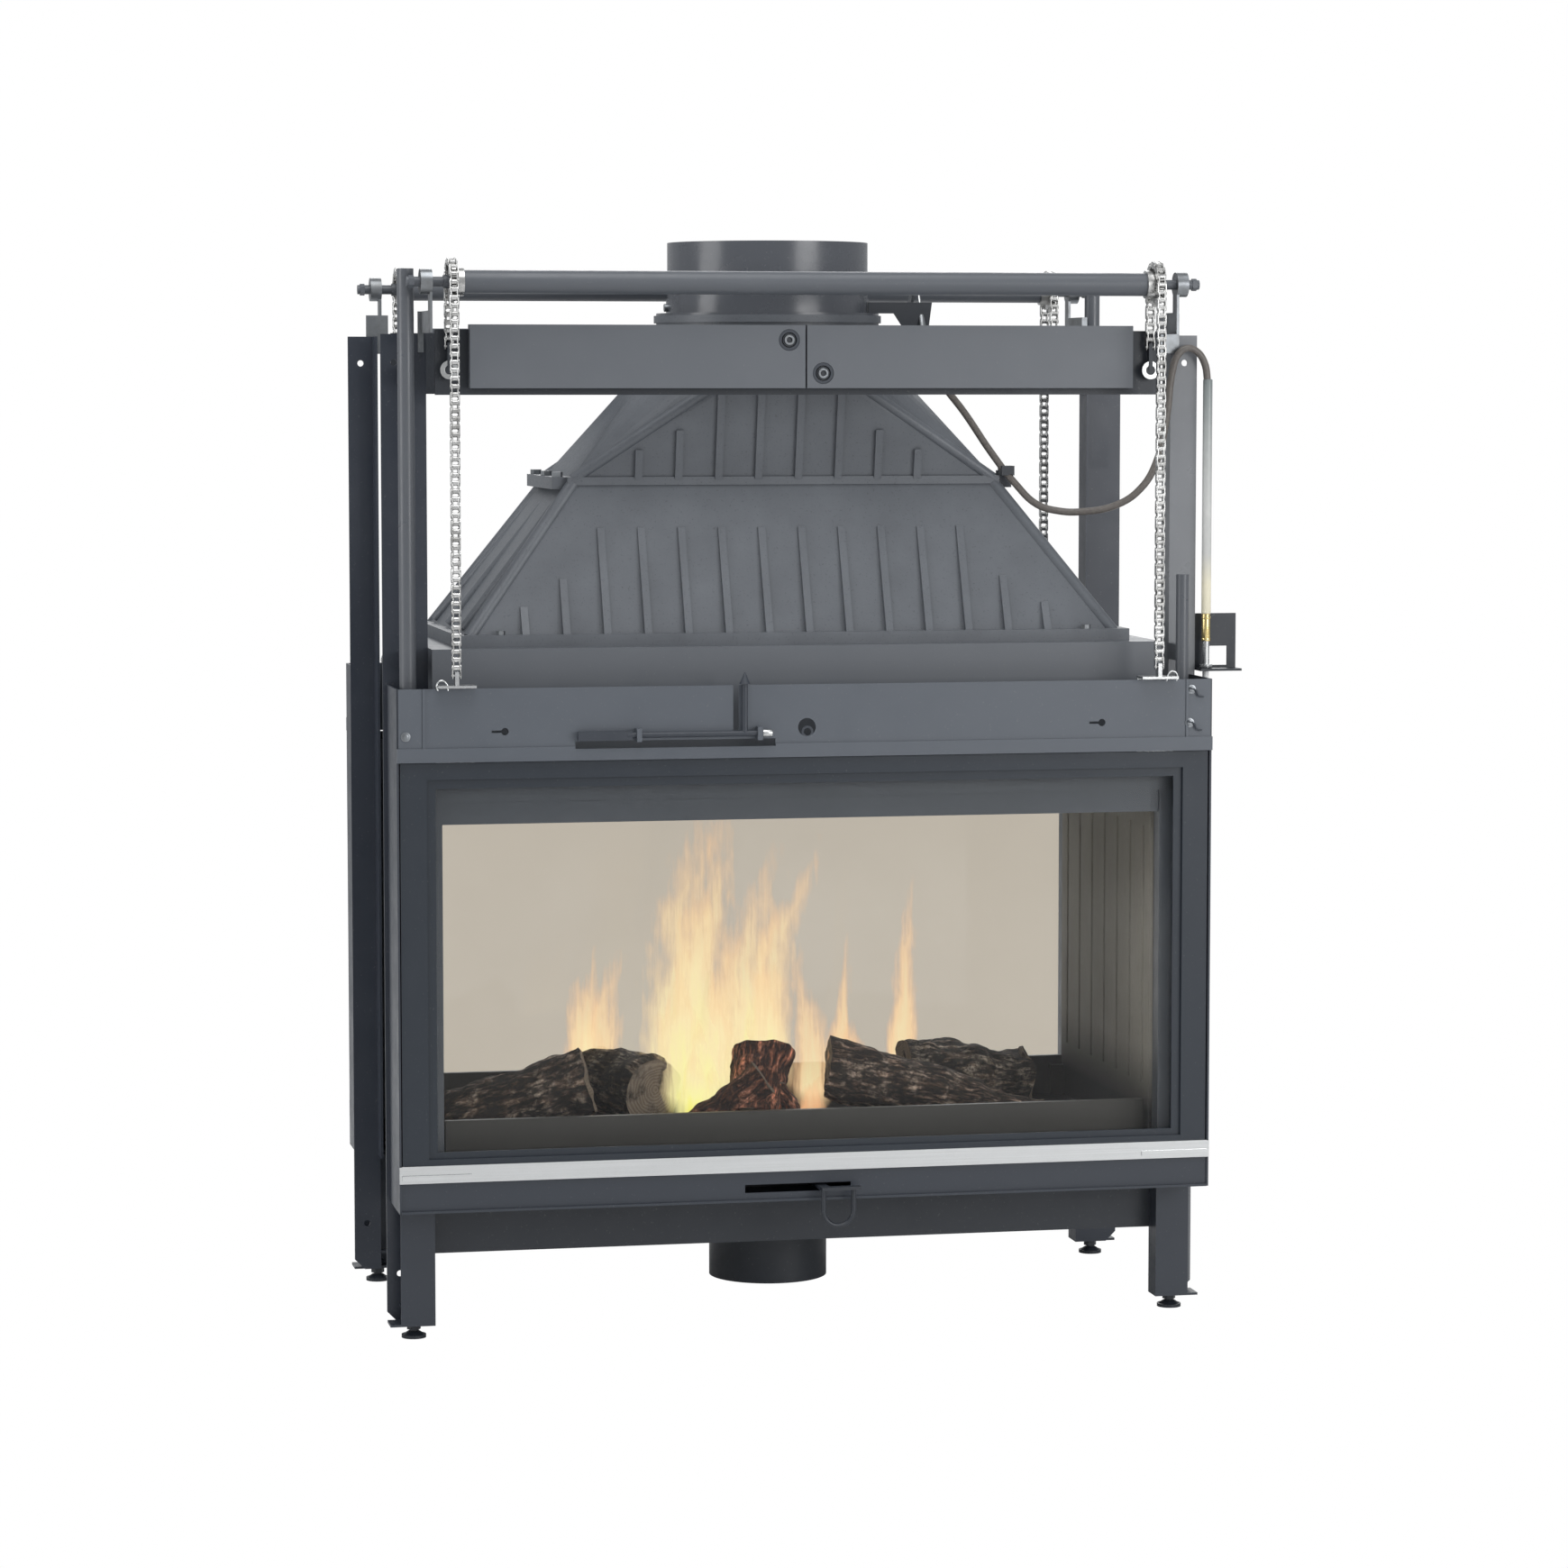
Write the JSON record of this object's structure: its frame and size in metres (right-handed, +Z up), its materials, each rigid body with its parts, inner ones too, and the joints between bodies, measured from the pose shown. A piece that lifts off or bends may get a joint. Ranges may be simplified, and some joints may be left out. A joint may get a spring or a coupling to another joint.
{
  "type": "double-sided fireplace",
  "caption": "double-sided wood-burning fireplace insert with lifting glass doors on both sides, roller chains, balance weights, ribbed cast smoke hood and flue collar",
  "frame": {"origin": "on the floor under the middle of the whole outline's box; the bracket at the right end widens that box, so the common axis of flue collar, firebox and air spigot stands 27 mm towards -X", "axes": "+Z up, +X to the right and -Y towards the viewer of the front side; the rear side is the front side turned half round the flue axis"},
  "size_m": [1.074, 0.5759, 1.336],
  "materials": {
    "steel_paint": "matt heat-proof stove paint, dark grey-blue",
    "cast_paint": "cast iron with matt dark grey stove paint",
    "dark_paint": "matt black stove paint",
    "bright_steel": "brushed stainless steel",
    "galvanised": "zinc-plated steel",
    "chain_steel": "oiled roller-chain steel",
    "ceramic_glass": "clear heat-proof ceramic glass",
    "seal_rope": "dark braided glass-fibre rope",
    "lining": "sooted refractory board",
    "bark": "split firewood with bark",
    "conduit": "grey-brown plastic-covered conduit",
    "rod_plastic": "white plastic rod"
  },
  "bodies": {
    "frame": {"base_box": "dark_paint", "air_duct": "dark_paint", "hearth_plate": "cast_paint", "log_guards": "cast_paint", "left_lining": "lining", "right_lining": "lining", "firebox_casing": "steel_paint", "lower_hood": "cast_paint", "upper_hood": "cast_paint", "hood_bolts": "galvanised", "flue_collar": "steel_paint", "front_left_post": "steel_paint", "front_right_post": "steel_paint", "rear_left_post": "steel_paint", "rear_right_post": "steel_paint", "front_left_leg": "steel_paint", "front_right_leg": "steel_paint", "rear_left_leg": "steel_paint", "rear_right_leg": "steel_paint", "levelling_feet": "dark_paint", "front_surround": "steel_paint", "rear_surround": "steel_paint", "front_lintel": "steel_paint", "rear_lintel": "steel_paint", "front_opening_frame": "dark_paint", "rear_opening_frame": "dark_paint", "guide_tubes": "steel_paint", "front_bearings": "galvanised", "rear_bearings": "galvanised", "front_left_chain": "chain_steel", "front_right_chain": "chain_steel", "rear_left_chain": "chain_steel", "rear_right_chain": "chain_steel", "firewood": "bark", "control_cable": "conduit", "cable_clips": "dark_paint", "cable_bracket": "dark_paint"},
    "front_door": {"front_door_frame": "steel_paint", "front_glass": "ceramic_glass", "front_seal": "seal_rope", "front_trim_bar": "bright_steel", "front_hangers": "bright_steel"},
    "rear_door": {"rear_door_frame": "steel_paint", "rear_glass": "ceramic_glass", "rear_seal": "seal_rope", "rear_trim_bar": "bright_steel", "rear_hangers": "bright_steel"},
    "front_weight": {"front_weight_bars": "steel_paint", "front_weight_carrier": "dark_paint"},
    "rear_weight": {"rear_weight_bars": "steel_paint", "rear_weight_carrier": "dark_paint"},
    "front_shaft": {"front_shaft": "steel_paint", "front_sprockets": "chain_steel"},
    "rear_shaft": {"rear_shaft": "steel_paint", "rear_sprockets": "chain_steel"},
    "flue_damper": {"flue_damper": "galvanised"},
    "damper_wire": {"damper_wire": "bright_steel"},
    "damper_rod": {"damper_rod": "rod_plastic"},
    "air_shutter": {"air_shutter": "dark_paint"},
    "vent_lever": {"vent_lever": "galvanised"}
  },
  "joints": [
    {"name": "front_door_lift", "type": "slide", "parent": "frame", "child": "front_door", "axis": [0, 0, 1], "range_m": [0, 0.4191], "deforming": ["front_left_chain", "front_right_chain"]},
    {"name": "rear_door_lift", "type": "slide", "parent": "frame", "child": "rear_door", "axis": [0, 0, 1], "range_m": [0, 0.4191], "deforming": ["rear_left_chain", "rear_right_chain"]},
    {"name": "front_weight_drop", "type": "slide", "parent": "frame", "child": "front_weight", "axis": [0, 0, 1], "range_m": [-0.4192, 0.0001]},
    {"name": "rear_weight_drop", "type": "slide", "parent": "frame", "child": "rear_weight", "axis": [0, 0, 1], "range_m": [-0.4192, 0.0001]},
    {"name": "front_shaft_turn", "type": "hinge", "parent": "frame", "child": "front_shaft", "pos_m": [-0.027, -0.25359, 1.281], "axis": [1, 0, 0], "range_deg": [-990.1, 0.1]},
    {"name": "rear_shaft_turn", "type": "hinge", "parent": "frame", "child": "rear_shaft", "pos_m": [-0.027, 0.25359, 1.281], "axis": [1, 0, 0], "range_deg": [-0.1, 990.1]},
    {"name": "damper_pull", "type": "slide", "parent": "frame", "child": "damper_rod", "axis": [0, 0, -1], "range_m": [0, 0.04]},
    {"name": "damper_turn", "type": "hinge", "parent": "frame", "child": "flue_damper", "pos_m": [-0.027, 0, 1.255], "axis": [1, 0, 0], "range_deg": [0, 50.01]},
    {"name": "wire_pull", "type": "slide", "parent": "frame", "child": "damper_wire", "axis": [0, -0.4478, -0.8942], "range_m": [0, 0.0339]},
    {"name": "air_shutter_turn", "type": "hinge", "parent": "frame", "child": "air_shutter", "pos_m": [-0.027, 0, 0.1058], "axis": [0, 0, 1], "range_deg": [-18, 0]},
    {"name": "vent_lever_turn", "type": "hinge", "parent": "frame", "child": "vent_lever", "pos_m": [-0.111, -0.277, 0.74], "axis": [1, 0, 0], "range_deg": [0, 90]}
  ],
  "couplings": [
    {"joint": "front_weight_drop", "follows": "front_door_lift", "ratio": -1},
    {"joint": "rear_weight_drop", "follows": "rear_door_lift", "ratio": -1},
    {"joint": "front_shaft_turn", "follows": "front_door_lift", "rad_per_m": -41.228},
    {"joint": "rear_shaft_turn", "follows": "rear_door_lift", "rad_per_m": 41.228},
    {"joint": "damper_turn", "follows": "damper_pull", "rad_per_m": 21.817},
    {"joint": "wire_pull", "follows": "damper_pull", "ratio": 0.845}
  ]
}
